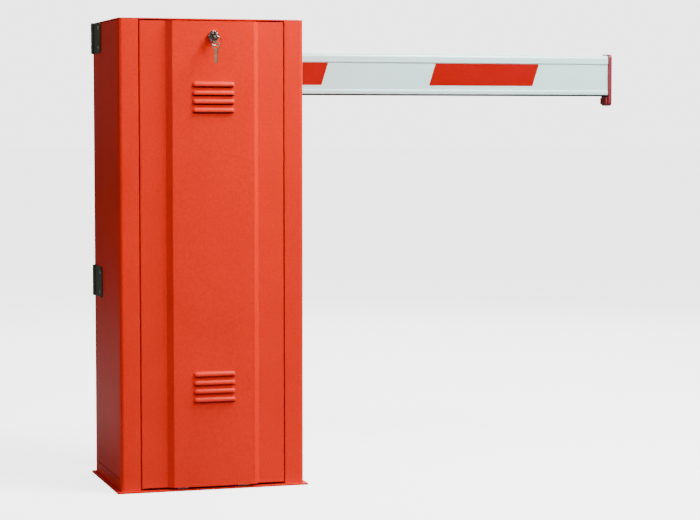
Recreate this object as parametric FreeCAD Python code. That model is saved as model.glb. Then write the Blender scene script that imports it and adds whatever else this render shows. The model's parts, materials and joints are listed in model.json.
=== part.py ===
"""Parking barrier gate: sheet-steel cabinet, hook-on door, side service panel, spring-balanced
boom on a main shaft, and a worm gearmotor that turns the shaft through a parallel linkage.

Millimetres. Origin at the centre of the cabinet's footprint on the floor. +Z is up, the door
faces -Y, and the boom lies behind the cabinet and runs out towards +X.
"""
import FreeCAD, Part
import math
import os

V = FreeCAD.Vector

# ---- cabinet -------------------------------------------------------------------------------
WIDTH = 420.0
DEPTH = 305.0
HEIGHT = 1050.0
SHEET = 2.0                 # thickness of the wall sheets
CORNER = 3.5                # outside radius of the rear vertical corners
FRONT_CORNER = 8.0          # outside radius of the front ones
TOP_THICK = 3.0
BASE_THICK = 4.0
BASE_RIM = 9.0              # how far the base plate stands out of the walls
STRIP = 44.0                # width of the front strips beside the door
POST_RETURN = 14.5          # side return of the front left post
REAR_RETURN = 16.5          # side returns of the rear wall
JAMB_DEPTH = 18.5           # from the front face to the back of the door jambs
JAMB_LIP = 14.0
ANCHOR_INSET_X = 40.0      # floor anchors in from the side walls
ANCHOR_INSET_Y = 40.0      # floor anchors in from the front and rear walls
ANCHOR_R = 7.0
CABLE_X = 150.0             # opening for the buried conduits
CABLE_Y = 90.0

# ---- door ----------------------------------------------------------------------------------
DOOR_GAP = 2.5
DOOR_FOOT = 9.0             # height of the door's lower edge above the floor
DOOR_EDGE = 15.0            # depth of the folded door edges
BAND_HALF = 105.0           # half width of the raised band at its foot
BAND_RISE = 12.0
LOUVRE_WIDTH = 97.0
LOUVRE_HIGH = 15.0
LOUVRE_OUT = 6.0
LOUVRE_MOUTH = 4.5          # height of the opening below each hood
LOUVRE_SHEET = 1.4          # sheet drawn thin in the hoods
LOUVRE_PITCH = 19.0
LOUVRE_COUNT = 4
LOUVRE_DROP = 139.0         # top of the upper group below the cabinet's top
LOUVRE_LOW_TOP = 267.0      # top of the lower group
LOCK_DROP = 39.0            # lock below the cabinet's top
LOCK_R = 9.0
LOCK_FACE_R = 12.0
PIVOT_Z = 14.0              # height of the door's hook pins
PIVOT_IN = 5.4              # hook pins behind the face of the raised band
PIVOT_R = 2.0
KEY_HOLE_OUT = 26.0         # keyring hole in front of the band face
KEY_BOW_R = 10.0
KEY_HOLE_R = 6.6
KEY_THICK = 2.0
KEY_TWIST = 50.0
RING_R = 11.0
RING_WIRE_R = 0.8
KEY_LONG = 38.0             # from the ring hole to the tip of a key
CAM_SHORT = 1.5             # lock cam clear of the door's top fold

# ---- side panel ----------------------------------------------------------------------------
PANEL_GAP = 1.2
PANEL_FOOT = 30.0
LEAF_LONG = 84.0
LEAF_HIGH = 70.0
LEAF_THICK = 3.0
KNUCKLE_R = 4.0
HINGE_PIN_R = 2.0
HINGE_DROP = 36.0           # upper hinge below the cabinet's top
HINGE_LOW = 455.0           # lower hinge

# ---- boom ----------------------------------------------------------------------------------
BOOM_LENGTH = 1199.0        # profile length, from the holder to the end cap
BOOM_BACK = 95.0            # profile behind the pivot
BOOM_HIGH = 99.0
BOOM_THICK = 40.0
BOOM_WALL = 2.5
BOOM_DROP = 113.0           # main shaft below the cabinet's top
BOOM_GAP = 28.5             # between the cabinet's rear face and the boom
RIB_HIGH = 21.0
RIB_STEP = 2.0
RIB_ROUND = 9.0
STRIP_RUBBER = 3.0          # rubber edge below the profile
STRIPE_LONG = 273.0
STRIPE_HIGH = 56.0
STRIPE_SLANT = 17.0
STRIPE_FILM = 0.5
STRIPE_FIRST = 79.0
STRIPE_PITCH = 548.0
CAP_THICK = 9.0
CAP_MARGIN = 3.5
CAP_HOOK = 24.0
HOLDER_HALF = 95.0
HOLDER_PLATE = 8.0
LINER = 3.0
CLAMP_BOLT_R = 5.0

# ---- shafts and linkage --------------------------------------------------------------------
SHAFT_R = 20.0
SHAFT_FLANGE_R = 55.0
SHAFT_FLANGE = 8.0
OUT_SHAFT_R = 14.0
WORM_SHAFT_R = 8.0
CAM_R = 34.0                # limit cam discs
SENSOR_R = 2.9
RUN = 0.06                  # radial clearance of shafts in their bearings
PIN_RUN = 0.3               # radial clearance of the linkage pins
LINK_ARM = 90.0             # crank and drive lever, centre to pin
LINK_ANGLE = 135.0          # their direction with the boom down, from +X towards +Z
LINK_PIN_R = 8.0
LINK_PLATE = 12.0
LINK_FRONT = 94.5           # front face of the crank and drive lever before the cabinet's rear
LINK_DROP = 214.0           # main shaft down to the gearbox shaft
BUFFER_R = 13.0
BUFFER_GAP = 1.0
SPRING_ARM = 100.0
SPRING_PIN_R = 7.0
SPRING_LEVER_IN = 56.5      # front face of the spring lever before the cabinet's rear
SPRING_IN = 35.5            # axis of the spring before the cabinet's rear
SPRING_R = 22.0
SPRING_FOOT_Z = 250.0       # centre of the spring's lower eye
SPRING_WIRE_R = 4.0
SPRING_EYE_R = 9.0          # lower eye, centre line
SPRING_TOP_EYE_R = 12.0     # upper eye, round the lever's pin
SPRING_EYE_WIRE_R = 3.0
EYE_RING_R = 10.0           # ring of the eye bolt
EYE_RING_WIRE_R = 3.5
EYE_BOLT_R = 6.0

# ---- drive ---------------------------------------------------------------------------------
CHASSIS_IN = 116.5          # front face of the drive plate before the cabinet's rear
CHASSIS_THICK = 6.0
CHASSIS_INSET = 60.0        # cheeks of the drive plate in from the side walls
CHASSIS_HIGH = 434.0
CHASSIS_DROP = 16.0         # its top below the cabinet's top
CHASSIS_BOLT_R = 4.0
TEETH = 30
MODULE = 2.5
WORM_PITCH_R = 12.0
WHEEL_WIDE = 10.0
WHEEL_OUT = 46.0            # worm wheel in front of the drive plate
MESH_SLACK = 1.2            # free play of a worm-wheel tooth in the thread
BOX_HALF = 62.0             # gearbox half width
BOX_WALL = 9.0
BOX_DEPTH = 72.0
COVER_THICK = 8.0
MOTOR_R = 44.0
MOTOR_LONG = 96.0
MOTOR_WALL = 5.0
FAN_LONG = 12.0
FAN_COVER_LONG = 24.0

# ---- electrics -----------------------------------------------------------------------------
CASE_LEFT = -8.0            # clear of the spring when the boom is up
CASE_INSET = 15.0           # case in from the right wall
CASE_HIGH = 230.0
CASE_HEADROOM = 40.0        # between the case and the drive plate
CASE_DEPTH = 68.0
CASE_WALL = 3.0
LID_THICK = 3.0
GLAND_R = 9.0

FRONT = -DEPTH / 2
REAR = DEPTH / 2
LEFT = -WIDTH / 2
RIGHT = WIDTH / 2
WALL_TOP = HEIGHT - TOP_THICK
ANCHOR_X = WIDTH - 2 * ANCHOR_INSET_X
ANCHOR_Y = DEPTH - 2 * ANCHOR_INSET_Y
LOUVRE_TOPS = (HEIGHT - LOUVRE_DROP, LOUVRE_LOW_TOP)
LOCK_Z = HEIGHT - LOCK_DROP
HINGE_Z = (HEIGHT - HINGE_DROP, HINGE_LOW)
BOOM_AXIS_Z = HEIGHT - BOOM_DROP
LINK_Y = REAR - LINK_FRONT
SPRING_LEVER_Y = REAR - SPRING_LEVER_IN
SPRING_Y = REAR - SPRING_IN
CHASSIS_Y = REAR - CHASSIS_IN
CHASSIS_HALF = WIDTH / 2 - CHASSIS_INSET
CHASSIS_TOP = HEIGHT - CHASSIS_DROP
CHASSIS_LOW = CHASSIS_TOP - CHASSIS_HIGH
WHEEL_Y = CHASSIS_Y - WHEEL_OUT
CAM_Y = (WHEEL_Y, WHEEL_Y + 8.0)
CASE_X = (CASE_LEFT, RIGHT - CASE_INSET)
CASE_Z = (CHASSIS_LOW - CASE_HEADROOM - CASE_HIGH, CHASSIS_LOW - CASE_HEADROOM)
DOOR_HALF = WIDTH / 2 - STRIP - DOOR_GAP
DOOR_TOP = WALL_TOP - DOOR_GAP
BAND_FACE = FRONT - BAND_RISE
PIVOT_Y = BAND_FACE + PIVOT_IN
BOOM_FRONT = REAR + BOOM_GAP
BOOM_REAR = BOOM_FRONT + BOOM_THICK
BOOM_LOW = BOOM_AXIS_Z - (BOOM_HIGH + STRIP_RUBBER) / 2 + STRIP_RUBBER
BOOM_TOP = BOOM_LOW + BOOM_HIGH
BOOM_END = BOOM_LENGTH - BOOM_BACK
DRIVE_Z = BOOM_AXIS_Z - LINK_DROP
WHEEL_R = TEETH * MODULE / 2
WORM_Z = DRIVE_Z - WHEEL_R - WORM_PITCH_R
LINK_PIN_Y = LINK_Y + LINK_PLATE
ROD_Y = LINK_PIN_Y + 2.0
HINGE_X = LEFT - KNUCKLE_R
HINGE_Y = REAR - REAR_RETURN - PANEL_GAP / 2
CASE_BACK = REAR - SHEET - 3.0
CASE_FRONT = CASE_BACK - CASE_DEPTH


# ---- shape helpers -------------------------------------------------------------------------
def block(x0, x1, y0, y1, z0, z1):
    return Part.makeBox(x1 - x0, y1 - y0, z1 - z0, V(x0, y0, z0))


def rod(x, y, z, axis, radius, length):
    return Part.makeCylinder(radius, length, V(x, y, z), V(*axis))


def along_x(x0, x1, y, z, radius):
    return rod(x0, y, z, (1, 0, 0), radius, x1 - x0)


def along_y(y0, y1, x, z, radius):
    return rod(x, y0, z, (0, 1, 0), radius, y1 - y0)


def along_z(z0, z1, x, y, radius):
    return rod(x, y, z0, (0, 0, 1), radius, z1 - z0)


def join(shapes):
    result = shapes[0]
    for shape in shapes[1:]:
        result = result.fuse(shape)
    return result.removeSplitter()


def extrude(points, direction):
    wire = Part.makePolygon([V(*p) for p in points] + [V(*points[0])])
    return Part.Face(wire).extrude(V(*direction))


def round_edges(shape, radius, axis, wanted=lambda middle: True):
    """Round the straight edges that run along axis (0, 1 or 2) and whose middle is wanted."""
    picked = []
    for edge in shape.Edges:
        if len(edge.Vertexes) != 2:
            continue
        step = edge.Vertexes[1].Point - edge.Vertexes[0].Point
        others = [abs(step[i]) for i in range(3) if i != axis]
        if abs(step[axis]) > 1.0 and max(others) < 1e-6 and wanted(edge.CenterOfMass):
            picked.append(edge)
    return shape.makeFillet(radius, picked)


def group(shapes):
    """Several loose solids that share one node."""
    return Part.makeCompound(shapes)


def bolt_y(x, y_head, z, radius, length, outward):
    """Hexagon bolt along Y; its head's underside is at y_head and faces -outward."""
    head = 0.65 * 2 * radius
    corner = 1.0 * 2 * radius
    points = []
    for i in range(6):
        turn = math.radians(60 * i)
        points.append((x + corner * math.cos(turn), y_head, z + corner * math.sin(turn)))
    shank_start = y_head if outward < 0 else y_head - length
    shank = along_y(shank_start, shank_start + length, x, z, radius)
    return join([shank, extrude(points, (0, outward * head, 0))])


def pointed(angle, length):
    """X and Z of a point at this direction and distance in the plane of the boom."""
    turn = math.radians(angle)
    return length * math.cos(turn), length * math.sin(turn)


# ---- cabinet -------------------------------------------------------------------------------
def base_plate():
    plate = block(LEFT - BASE_RIM, RIGHT + BASE_RIM, FRONT - BASE_RIM, REAR + BASE_RIM,
                  0, BASE_THICK)
    plate = round_edges(plate, CORNER, 2)
    plate = plate.cut(block(-CABLE_X / 2, CABLE_X / 2, -CABLE_Y / 2, CABLE_Y / 2, -1, BASE_THICK + 1))
    for sx in (-1, 1):
        for sy in (-1, 1):
            hole = along_z(-1, BASE_THICK + 1, sx * ANCHOR_X / 2, sy * ANCHOR_Y / 2, ANCHOR_R)
            plate = plate.cut(hole)
    return plate


def round_corners(shape, inset):
    """Vertical corners of a box whose sides lie inset from the outer faces of the walls."""
    shape = round_edges(shape, FRONT_CORNER - inset, 2, lambda m: m.y < 0)
    return round_edges(shape, CORNER - inset, 2, lambda m: m.y > 0)


def wall_tube():
    """The four walls as one tube, before it is divided into its sheets."""
    outer = block(LEFT, RIGHT, FRONT, REAR, BASE_THICK, WALL_TOP)
    inner = block(LEFT + SHEET, RIGHT - SHEET, FRONT + SHEET, REAR - SHEET, 0, HEIGHT)
    outer = round_corners(outer, 0)
    inner = round_corners(inner, SHEET)
    return outer.cut(inner)


def jamb(side):
    """Folded door jamb behind the free edge of a front strip; side is -1 left or 1 right."""
    edge = side * (RIGHT - STRIP)
    outer = edge + side * SHEET
    lip = edge - side * JAMB_LIP
    back = FRONT + JAMB_DEPTH
    web = block(min(edge, outer), max(edge, outer), FRONT + SHEET / 2, back, BASE_THICK, WALL_TOP)
    rest = block(min(lip, outer), max(lip, outer), back - SHEET, back, BASE_THICK, WALL_TOP)
    return join([web, rest])


def front_left_post():
    keep = block(LEFT - 1, LEFT + STRIP, FRONT - 1, FRONT + POST_RETURN, 0, HEIGHT)
    return join([wall_tube().common(keep), jamb(-1), left_sill()])


def left_sill():
    """Low strip under the side panel, from the post to the rear wall."""
    y0 = FRONT + POST_RETURN
    y1 = REAR - REAR_RETURN
    upright = block(LEFT, LEFT + SHEET, y0, y1, BASE_THICK, PANEL_FOOT - PANEL_GAP)
    ledge = block(LEFT, LEFT + 18, y0, y1, BASE_THICK, BASE_THICK + SHEET)
    return join([upright, ledge])


def right_wall():
    keep = block(RIGHT - STRIP, RIGHT + 1, FRONT - 1, REAR - REAR_RETURN, 0, HEIGHT)
    return join([wall_tube().common(keep), jamb(1)])


def rear_wall():
    keep = block(LEFT - 1, RIGHT + 1, REAR - REAR_RETURN, REAR + 1, 0, HEIGHT)
    wall = wall_tube().common(keep)
    wall = wall.cut(along_y(REAR - SHEET - 1, REAR + 1, 0, BOOM_AXIS_Z, SHAFT_R + 6))
    return wall.cut(chassis_bolt_holes())


def top_cover():
    plate = round_corners(block(LEFT, RIGHT, FRONT, REAR, WALL_TOP, HEIGHT), 0)
    return plate.makeFillet(1.0, [e for e in plate.Edges if e.BoundBox.ZMin > HEIGHT - 0.01])


# ---- door ----------------------------------------------------------------------------------
def door_outline(inset):
    """Section of the door sheet, inset from its outer face; the folded edges come last."""
    slope = inset * math.tan(math.radians(22.5))
    half = DOOR_HALF
    return [(-half + inset, FRONT + inset), (-BAND_HALF + slope, FRONT + inset),
            (-BAND_HALF + BAND_RISE + slope, BAND_FACE + inset),
            (BAND_HALF - BAND_RISE - slope, BAND_FACE + inset),
            (BAND_HALF - slope, FRONT + inset), (half - inset, FRONT + inset)]


def louvre(z_top, shrink):
    """Pressed-out hood with round ends. shrink gives its inside."""
    middle = V(0, BAND_FACE - LOUVRE_OUT + LOUVRE_HIGH / 2, z_top - LOUVRE_HIGH / 2)
    radius = LOUVRE_HIGH / 2 - shrink
    reach = LOUVRE_WIDTH / 2 - LOUVRE_HIGH / 2
    bar = along_x(-reach, reach, middle.y, middle.z, radius)
    ends = [Part.makeSphere(radius, middle + V(side * reach, 0, 0)) for side in (-1, 1)]
    return join([bar] + ends)


def louvre_hood(z_top):
    """Outside of the hood, from the sheet outwards; its lower part is left open."""
    half = LOUVRE_WIDTH / 2 + 1
    front = block(-half, half, BAND_FACE - LOUVRE_OUT - 1, BAND_FACE + SHEET / 2,
                  z_top - LOUVRE_HIGH + LOUVRE_MOUTH, z_top + 1)
    return louvre(z_top, 0).common(front)


def cabinet_door():
    outer = door_outline(0)
    back = FRONT + DOOR_EDGE
    outer_points = outer + [(DOOR_HALF, back), (-DOOR_HALF, back)]
    inner = door_outline(SHEET)
    inner_points = inner + [(DOOR_HALF - SHEET, back + 1), (-DOOR_HALF + SHEET, back + 1)]
    rise = DOOR_TOP - DOOR_FOOT
    shell = extrude([(x, y, DOOR_FOOT) for x, y in outer_points], (0, 0, rise))
    shell = round_edges(shell, 1.5, 2, lambda m: m.y < FRONT + 1)
    shell = shell.cut(extrude([(x, y, DOOR_FOOT - 1) for x, y in inner_points], (0, 0, rise + 2)))
    edge = [(x, y, DOOR_TOP - SHEET) for x, y in outer_points]
    shell = join([shell, extrude(edge, (0, 0, SHEET))])
    for group_top in LOUVRE_TOPS:
        for i in range(LOUVRE_COUNT):
            z_top = group_top - i * LOUVRE_PITCH
            shell = shell.fuse(louvre_hood(z_top)).cut(louvre(z_top, LOUVRE_SHEET))
    hole = along_y(BAND_FACE - 5, BAND_FACE + SHEET + 1, 0, LOCK_Z, LOCK_R)
    return shell.cut(hole).removeSplitter()


def pivot_places():
    return (-BAND_HALF + 35, BAND_HALF - 35)


def door_pivot_brackets():
    """Two steel brackets on the base plate; their arms hold a hook pin each from behind."""
    shapes = []
    for x in pivot_places():
        parts = [block(x - 12, x + 12, PIVOT_Y + 9, PIVOT_Y + 18, BASE_THICK, BASE_THICK + 2),
                 along_x(x - 12, x + 12, PIVOT_Y, PIVOT_Z, PIVOT_R)]
        for x0 in (x - 12, x + 9):
            parts.append(block(x0, x0 + 3, PIVOT_Y + 9, PIVOT_Y + 14, BASE_THICK, PIVOT_Z + PIVOT_R + 0.3))
            parts.append(block(x0, x0 + 3, PIVOT_Y, PIVOT_Y + 9, PIVOT_Z - PIVOT_R, PIVOT_Z + PIVOT_R))
        shapes.append(join(parts))
    return group(shapes)


def door_hooks():
    """Steel hooks welded inside the raised band, which sit over the hook pins."""
    shapes = []
    for x in pivot_places():
        eye = along_x(x - 7, x + 7, PIVOT_Y, PIVOT_Z, PIVOT_R + 1.3)
        arm = block(x - 7, x + 7, PIVOT_Y - PIVOT_IN + SHEET, PIVOT_Y, PIVOT_Z, PIVOT_Z + 34)
        hook = join([eye, arm])
        hook = hook.cut(along_x(x - 8, x + 8, PIVOT_Y, PIVOT_Z, PIVOT_R + PIN_RUN))
        slot = block(x - 8, x + 8, PIVOT_Y - PIVOT_R - PIN_RUN, PIVOT_Y + PIVOT_R + PIN_RUN,
                     PIVOT_Z - 10, PIVOT_Z)
        shapes.append(hook.cut(slot))
    return group(shapes)


def door_gasket():
    """Foam strips on the jambs, just behind the door's folded edges."""
    back = FRONT + JAMB_DEPTH - SHEET
    front = FRONT + DOOR_EDGE + 0.4
    inner = RIGHT - STRIP - JAMB_LIP
    outer = RIGHT - STRIP - 1.0
    shapes = []
    for side in (-1, 1):
        x0, x1 = sorted((side * inner, side * outer))
        shapes.append(block(x0, x1, front, back, 70, DOOR_TOP - 20))
    return group(shapes)


def lock_barrel():
    """Chromed lock body with its round face, set through the raised band."""
    face = along_y(BAND_FACE - 7, BAND_FACE, 0, LOCK_Z, LOCK_FACE_R)
    face = face.makeFillet(1.6, [face.Edges[i] for i in range(len(face.Edges))
                                 if face.Edges[i].BoundBox.YMax < BAND_FACE - 6.9])
    body = along_y(BAND_FACE - 1, BAND_FACE + 20, 0, LOCK_Z, LOCK_R)
    return join([face, body]).cut(along_y(BAND_FACE - 8, BAND_FACE + 21, 0, LOCK_Z, 6.0 + RUN))


def lock_nut():
    points = [(14 * math.cos(math.radians(60 * i)), BAND_FACE + SHEET,
               LOCK_Z + 14 * math.sin(math.radians(60 * i))) for i in range(6)]
    nut = extrude(points, (0, 5, 0))
    return nut.cut(along_y(BAND_FACE, BAND_FACE + 10, 0, LOCK_Z, LOCK_R))


def lock_plug():
    plug = along_y(BAND_FACE - 7.3, BAND_FACE + 22, 0, LOCK_Z, 6.0)
    slot = block(-KEY_THICK / 2 - 0.1, KEY_THICK / 2 + 0.1, BAND_FACE - 8, BAND_FACE + 14,
                 LOCK_Z - 4.2, LOCK_Z + 4.2)
    return plug.cut(slot)


def lock_cam():
    reach = DOOR_TOP - SHEET - CAM_SHORT - LOCK_Z
    plate = block(-8, 8, BAND_FACE + 22, BAND_FACE + 25, LOCK_Z - 10, LOCK_Z + reach - 3)
    tip = block(-6, 6, BAND_FACE + 22, BAND_FACE + 25, LOCK_Z, LOCK_Z + reach)
    screw = along_y(BAND_FACE + 25, BAND_FACE + 28, 0, LOCK_Z, 4.5)
    return join([plate, tip, screw])


def key_shape(y, z, drop):
    """Flat key in the YZ plane with its ring hole at (y, z); drop tells whether it hangs."""
    bow = along_x(-KEY_THICK / 2, KEY_THICK / 2, y, z, KEY_BOW_R)
    if drop:
        blade = block(-KEY_THICK / 2, KEY_THICK / 2, y - 3.8, y + 3.8, z - KEY_LONG, z)
        notches = [(y + 3.8, z - KEY_LONG + 6 + 5 * i) for i in range(4)]
    else:
        blade = block(-KEY_THICK / 2, KEY_THICK / 2, y, y + KEY_LONG, z - 3.8, z + 3.8)
        notches = []
    key = join([bow, blade]).cut(along_x(-5, 5, y, z, KEY_HOLE_R))
    for ny, nz in notches:
        key = key.cut(along_x(-5, 5, ny, nz, 1.5))
    return key


def door_key():
    return key_shape(BAND_FACE - KEY_HOLE_OUT, LOCK_Z, False)


def key_ring():
    centre = V(0, BAND_FACE - KEY_HOLE_OUT, LOCK_Z - RING_R)
    return Part.makeTorus(RING_R, RING_WIRE_R, centre, V(0, 1, 0))


def spare_key():
    """The second key hangs on the ring, turned on its upright axis."""
    y, z = BAND_FACE - KEY_HOLE_OUT, LOCK_Z - 2 * RING_R
    key = key_shape(y, z, True)
    key.rotate(V(0, y, z), V(0, 0, 1), KEY_TWIST)
    return key


# ---- side panel and its hinges -------------------------------------------------------------
def side_panel():
    y0 = FRONT + POST_RETURN + PANEL_GAP
    y1 = REAR - REAR_RETURN - PANEL_GAP
    z1 = WALL_TOP - PANEL_GAP
    sheet = block(LEFT, LEFT + SHEET, y0, y1, PANEL_FOOT, z1)
    folds = [block(LEFT, LEFT + 12, y0, y0 + SHEET, PANEL_FOOT, z1),
             block(LEFT, LEFT + 12, y0, y1, PANEL_FOOT, PANEL_FOOT + SHEET),
             block(LEFT, LEFT + 12, y0, y1, z1 - SHEET, z1)]
    panel = join([sheet] + folds)
    return round_edges(panel, 1.5, 2, lambda m: m.x < LEFT + 0.1 and m.y < y0 + 0.1)


def hinge_pin_hole(z):
    return along_z(z - LEAF_HIGH, z + LEAF_HIGH, HINGE_X, HINGE_Y, HINGE_PIN_R + RUN)


def panel_leaves():
    """Long leaves riveted to the side panel, each with the middle knuckle."""
    shapes = []
    for z in HINGE_Z:
        low, high = z - LEAF_HIGH / 2, z + LEAF_HIGH / 2
        leaf = block(LEFT - LEAF_THICK, LEFT, HINGE_Y - LEAF_LONG, HINGE_Y - 1.5, low, high)
        leaf = round_edges(leaf, 8.0, 0, lambda m: m.y < HINGE_Y - LEAF_LONG + 1)
        third = LEAF_HIGH / 6
        leaf = leaf.cut(block(LEFT - 9, LEFT + 1, HINGE_Y - 4.6, HINGE_Y, low - 1, z - third + 0.2))
        leaf = leaf.cut(block(LEFT - 9, LEFT + 1, HINGE_Y - 4.6, HINGE_Y, z + third - 0.2, high + 1))
        knuckle = along_z(z - third + 0.2, z + third - 0.2, HINGE_X, HINGE_Y, KNUCKLE_R)
        shapes.append(join([leaf, knuckle]).cut(hinge_pin_hole(z)))
    return group(shapes)


def frame_leaves():
    """Short leaves on the rear wall's return, each with the outer knuckles and its pin."""
    shapes = []
    for z in HINGE_Z:
        low, high = z - LEAF_HIGH / 2, z + LEAF_HIGH / 2
        third = LEAF_HIGH / 6
        leaf = block(LEFT - LEAF_THICK, LEFT, HINGE_Y + 1.5, HINGE_Y + 13, low, high)
        middle = block(LEFT - 9, LEFT + 1, HINGE_Y, HINGE_Y + 4.6, z - third - 0.2, z + third + 0.2)
        leaf = leaf.cut(middle)
        ends = [along_z(low, z - third - 0.2, HINGE_X, HINGE_Y, KNUCKLE_R),
                along_z(z + third + 0.2, high, HINGE_X, HINGE_Y, KNUCKLE_R)]
        shapes.append(join([leaf] + ends).cut(hinge_pin_hole(z)))
        shapes.append(along_z(low - 1, high + 1, HINGE_X, HINGE_Y, HINGE_PIN_R))
    return group(shapes)


def leaf_screws():
    """Two pan-head screws through each long leaf into the side panel."""
    shapes = []
    for z in HINGE_Z:
        for dz in (-1, 1):
            y = HINGE_Y - LEAF_LONG + 14
            zz = z + dz * (LEAF_HIGH / 2 - 13)
            shapes.append(along_x(LEFT - LEAF_THICK - 2.2, LEFT - LEAF_THICK, y, zz, 5.0))
    return group(shapes)


# ---- boom ----------------------------------------------------------------------------------
def boom_section(x0, length):
    """Outer shape of the profile: two rounded ribs with a flat band sunk between them."""
    rib = RIB_HIGH
    low, top = BOOM_LOW, BOOM_TOP
    lower_rib = rib * 0.45
    front, rear, step = BOOM_FRONT, BOOM_REAR, RIB_STEP
    points = [(front, low), (front, low + lower_rib), (front + step, low + lower_rib + step),
              (front + step, top - rib - step), (front, top - rib), (front, top), (rear, top),
              (rear, top - rib), (rear - step, top - rib - step),
              (rear - step, low + lower_rib + step), (rear, low + lower_rib), (rear, low)]
    solid = extrude([(x0, y, z) for y, z in points], (length, 0, 0))
    solid = round_edges(solid, RIB_ROUND, 0, lambda m: m.z > top - 0.1)
    return round_edges(solid, 2.5, 0, lambda m: m.z < low + 0.1)


def boom_cavity():
    return (BOOM_FRONT + RIB_STEP + BOOM_WALL, BOOM_REAR - RIB_STEP - BOOM_WALL,
            BOOM_LOW + 2 * BOOM_WALL, BOOM_TOP - BOOM_WALL)


def boom_profile():
    y0, y1, z0, z1 = boom_cavity()
    outer = boom_section(-BOOM_BACK, BOOM_LENGTH)
    inner = round_edges(block(-BOOM_BACK - 1, BOOM_END + 1, y0, y1, z0, z1), 5.0, 0)
    slot = block(-BOOM_BACK - 1, BOOM_END + 1, slot_mid() - 4.2, slot_mid() + 4.2,
                 BOOM_LOW - 1, BOOM_LOW + BOOM_WALL)
    return outer.cut(inner).cut(slot)


def slot_mid():
    return (BOOM_FRONT + BOOM_REAR) / 2


def boom_edge_rubber():
    x0 = HOLDER_HALF + 4
    y = slot_mid()
    cap = block(x0, BOOM_END, y - 13, y + 13, BOOM_LOW - STRIP_RUBBER, BOOM_LOW)
    cap = round_edges(cap, 1.2, 0, lambda m: m.z < BOOM_LOW - 1)
    root = block(x0, BOOM_END, y - 4, y + 4, BOOM_LOW, BOOM_LOW + BOOM_WALL - 0.2)
    return join([cap, root])


def boom_stripes():
    """Slanted reflective films on the sunk bands, front and rear."""
    z1 = BOOM_TOP - RIB_HIGH - RIB_STEP
    z0 = z1 - STRIPE_HIGH + RIB_STEP
    shapes = []
    for i in range(2):
        x = STRIPE_FIRST + i * STRIPE_PITCH
        corners = [(x, z0), (x + STRIPE_LONG, z0),
                   (x + STRIPE_LONG + STRIPE_SLANT, z1), (x + STRIPE_SLANT, z1)]
        for y in (BOOM_FRONT + RIB_STEP - STRIPE_FILM, BOOM_REAR - RIB_STEP):
            points = [(px, y, pz) for px, pz in corners]
            shapes.append(extrude(points, (0, STRIPE_FILM, 0)))
    return group(shapes)


def boom_end_cap():
    """Plastic plug for the profile with a margin all round and a hook below."""
    y0, y1, z0, z1 = boom_cavity()
    plate = block(BOOM_END, BOOM_END + CAP_THICK, BOOM_FRONT - CAP_MARGIN,
                  BOOM_REAR + CAP_MARGIN, BOOM_LOW - STRIP_RUBBER - CAP_HOOK,
                  BOOM_TOP + CAP_MARGIN)
    plate = round_edges(plate, 9.0, 0)
    low = BOOM_LOW - STRIP_RUBBER
    lug = block(BOOM_END - 5, BOOM_END + CAP_THICK / 2, BOOM_FRONT + 2, BOOM_REAR - 2,
                low - CAP_HOOK + 4, low - 3)
    lug = round_edges(lug, 1.5, 1)
    plug = block(BOOM_END - 22, BOOM_END + 1, y0 + 0.3, y1 - 0.3, z0 + 0.3, z1 - 0.3)
    plug = round_edges(plug, 5.0, 0)
    return join([plate, lug, plug])


def holder_bounds():
    """Y of the plate's front, and Z of the holder channel's inside and outside."""
    inner = (BOOM_LOW - LINER, BOOM_TOP + LINER)
    outer = (inner[0] - HOLDER_PLATE, inner[1] + HOLDER_PLATE)
    ears = (outer[0] - 22, outer[1] + 22)
    return inner, outer, ears


def holder_bolt_places():
    ears = holder_bounds()[2]
    return [(sx * (HOLDER_HALF - 15), z) for sx in (-1, 1) for z in (ears[0] + 11, ears[1] - 11)]


def boom_holder():
    """Steel channel on the shaft flange that takes the boom from behind."""
    inner, outer, ears = holder_bounds()
    back = BOOM_FRONT - LINER
    plate = block(-HOLDER_HALF, HOLDER_HALF, back - HOLDER_PLATE, back, ears[0], ears[1])
    plate = round_edges(plate, 10.0, 1)
    low = block(-HOLDER_HALF, HOLDER_HALF, back - 1, BOOM_REAR, outer[0], inner[0])
    top = block(-HOLDER_HALF, HOLDER_HALF, back - 1, BOOM_REAR, inner[1], outer[1])
    holder = join([plate, low, top])
    for x, z in holder_bolt_places():
        holder = holder.cut(along_y(back - 20, BOOM_REAR, x, z, CLAMP_BOLT_R + 0.3))
    return holder


def boom_liner():
    """Rubber lining between the holder channel and the profile."""
    inner = holder_bounds()[0]
    outer = block(-HOLDER_HALF, HOLDER_HALF, BOOM_FRONT - LINER, BOOM_REAR, inner[0], inner[1])
    return outer.cut(block(-HOLDER_HALF - 1, HOLDER_HALF + 1, BOOM_FRONT, BOOM_REAR + 1,
                           BOOM_LOW, BOOM_TOP))


def boom_clamp_plate():
    ears = holder_bounds()[2]
    plate = block(-HOLDER_HALF, HOLDER_HALF, BOOM_REAR, BOOM_REAR + 6, ears[0], ears[1])
    plate = round_edges(plate, 10.0, 1)
    for x, z in holder_bolt_places():
        plate = plate.cut(along_y(BOOM_REAR - 1, BOOM_REAR + 9, x, z, CLAMP_BOLT_R + 0.3))
    return plate


def boom_clamp_bolts():
    back = BOOM_FRONT - LINER - HOLDER_PLATE
    length = BOOM_REAR + 6 - back
    shapes = []
    for x, z in holder_bolt_places():
        shapes.append(bolt_y(x, BOOM_REAR + 6, z, CLAMP_BOLT_R, length, 1))
    return group(shapes)


# ---- main shaft, levers and tie rod --------------------------------------------------------
def flange_back():
    return BOOM_FRONT - LINER - HOLDER_PLATE


def main_shaft():
    flange = along_y(flange_back() - SHAFT_FLANGE, flange_back(), 0, BOOM_AXIS_Z, SHAFT_FLANGE_R)
    return join([along_y(WHEEL_Y - 2, flange_back(), 0, BOOM_AXIS_Z, SHAFT_R), flange])


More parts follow.
